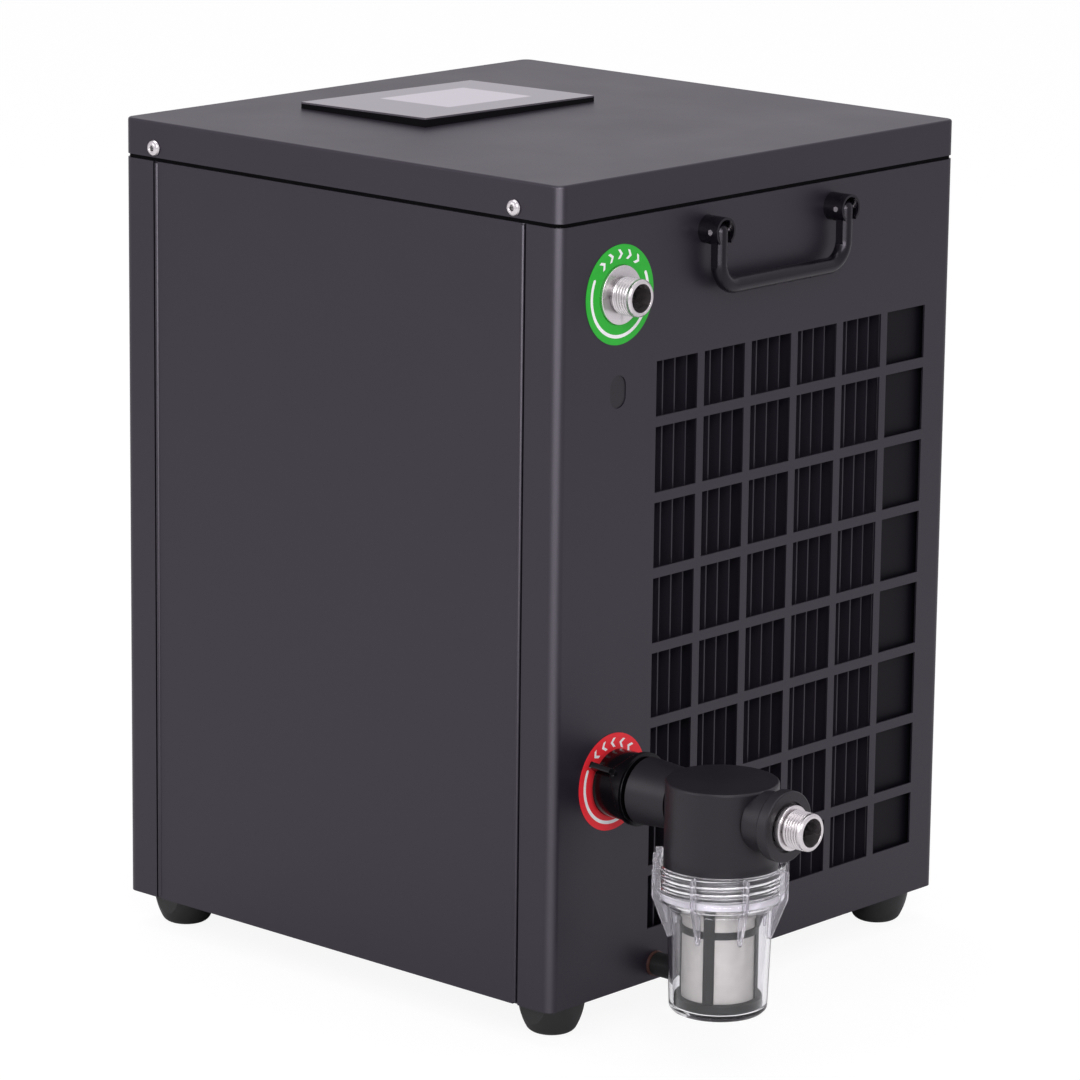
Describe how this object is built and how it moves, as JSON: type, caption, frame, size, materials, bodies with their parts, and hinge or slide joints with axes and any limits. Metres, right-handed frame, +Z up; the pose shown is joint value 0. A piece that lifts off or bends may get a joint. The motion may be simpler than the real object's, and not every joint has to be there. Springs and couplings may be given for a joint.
{
  "type": "ice bath chiller",
  "caption": "Water chiller in a folded black sheet cabinet with a barred air grille, threaded ports, a clear-bowl inlet filter, folding handles and a top display.",
  "frame": {"origin": "middle of the overall footprint, on the plane that the feet stand on", "axes": "+Z up, -Y out of the grille and port side, +X to the right when the grille is faced"},
  "size_m": [0.3452, 0.4896, 0.484],
  "materials": {
    "black_powder_coat": "satin",
    "vane_plastic": "matte",
    "stainless_steel": "satin",
    "steel_mesh": "satin",
    "foot_rubber": "matte",
    "black_rubber": "matte",
    "hose_rubber": "matte",
    "copper_seal": "satin",
    "white_silicone": "satin",
    "green_label": "gloss",
    "red_label": "gloss",
    "gloss_black_plastic": "gloss",
    "satin_black_plastic": "satin",
    "rocker_plastic": "gloss",
    "clear_plastic": "clear gloss",
    "display_glass": "gloss",
    "grey_plastic": "matte",
    "fin_aluminium": "satin",
    "copper": "satin",
    "motor_metal": "satin",
    "compressor_paint": "satin",
    "insulation_foam": "matte"
  },
  "bodies": {
    "cabinet": {"base_pan": "black_powder_coat", "capillary_tube": "copper", "circulation_pump": "satin_black_plastic", "compressor": "compressor_paint", "compressor_grommets": "black_rubber", "condenser": "fin_aluminium", "condenser_bends": "copper", "control_box": "grey_plastic", "discharge_pipe": "copper", "display_glass": "display_glass", "display_housing": "gloss_black_plastic", "drain_seal": "copper_seal", "drain_stub": "stainless_steel", "evaporator": "insulation_foam", "exhaust_panel": "black_powder_coat", "fan_cowl": "satin_black_plastic", "fan_motor": "motor_metal", "filter_drier": "copper", "filter_head": "satin_black_plastic", "filter_nipple": "stainless_steel", "foot_back_left": "foot_rubber", "foot_back_right": "foot_rubber", "foot_front_left": "foot_rubber", "foot_front_right": "foot_rubber", "foot_screws": "stainless_steel", "handle_pins": "stainless_steel", "inlet_fitting": "stainless_steel", "inlet_hose": "hose_rubber", "inlet_label": "red_label", "lid": "black_powder_coat", "lid_screws": "stainless_steel", "liquid_pipe": "copper", "mains_inlet": "satin_black_plastic", "outlet_fitting": "stainless_steel", "outlet_hose": "hose_rubber", "outlet_label": "green_label", "port_handle_boss_left": "black_powder_coat", "port_handle_boss_right": "black_powder_coat", "port_locknuts": "stainless_steel", "port_panel": "black_powder_coat", "power_switch": "satin_black_plastic", "pump_hose": "hose_rubber", "rear_handle_boss_left": "black_powder_coat", "rear_handle_boss_right": "black_powder_coat", "side_panel_left": "black_powder_coat", "side_panel_right": "black_powder_coat", "suction_pipe": "copper", "top_frame": "black_powder_coat", "union_washer": "black_rubber", "vane_grille": "vane_plastic"},
    "port_bail": {"port_handle_bail": "black_powder_coat"},
    "rear_bail": {"rear_handle_bail": "black_powder_coat"},
    "fan": {"fan_rotor": "satin_black_plastic"},
    "union": {"union_nut": "gloss_black_plastic"},
    "strainer": {"bowl_seal": "white_silicone", "strainer_frame": "satin_black_plastic", "strainer_mesh": "steel_mesh"},
    "bowl": {"filter_bowl": "clear_plastic"},
    "drain_cap": {"drain_cap": "black_rubber"},
    "rocker": {"power_rocker": "rocker_plastic"}
  },
  "joints": [
    {"name": "port_handle_hinge", "type": "hinge", "parent": "cabinet", "child": "port_bail", "pos_m": [0.0046, -0.1118, 0.4414], "axis": [-1, 0, 0], "range_deg": [0, 90]},
    {"name": "rear_handle_hinge", "type": "hinge", "parent": "cabinet", "child": "rear_bail", "pos_m": [0.0046, 0.2402, 0.4414], "axis": [1, 0, 0], "range_deg": [0, 90]},
    {"name": "fan_spin", "type": "hinge", "parent": "cabinet", "child": "fan", "pos_m": [0.012, -0.02, 0.208], "axis": [0, 1, 0], "continuous": true},
    {"name": "union_spin", "type": "hinge", "parent": "cabinet", "child": "union", "pos_m": [-0.1212, -0.1168, 0.1428], "axis": [0, -1, 0], "continuous": true},
    {"name": "bowl_lower", "type": "slide", "parent": "cabinet", "child": "strainer", "axis": [0, 0, -1], "range_m": [0, 0.0126]},
    {"name": "bowl_turn", "type": "hinge", "parent": "strainer", "child": "bowl", "pos_m": [-0.1212, -0.1818, 0.09], "axis": [0, 0, -1], "range_deg": [0, 1080]},
    {"name": "drain_cap_pull", "type": "slide", "parent": "cabinet", "child": "drain_cap", "axis": [0, -1, 0], "range_m": [0, 0.02]},
    {"name": "power_rocker_tilt", "type": "hinge", "parent": "cabinet", "child": "rocker", "pos_m": [-0.126, 0.2312, 0.118], "axis": [1, 0, 0], "range_deg": [0, 16]}
  ],
  "couplings": [
    {"joint": "bowl_lower", "follows": "bowl_turn", "m_per_rad": 0.00066845}
  ]
}
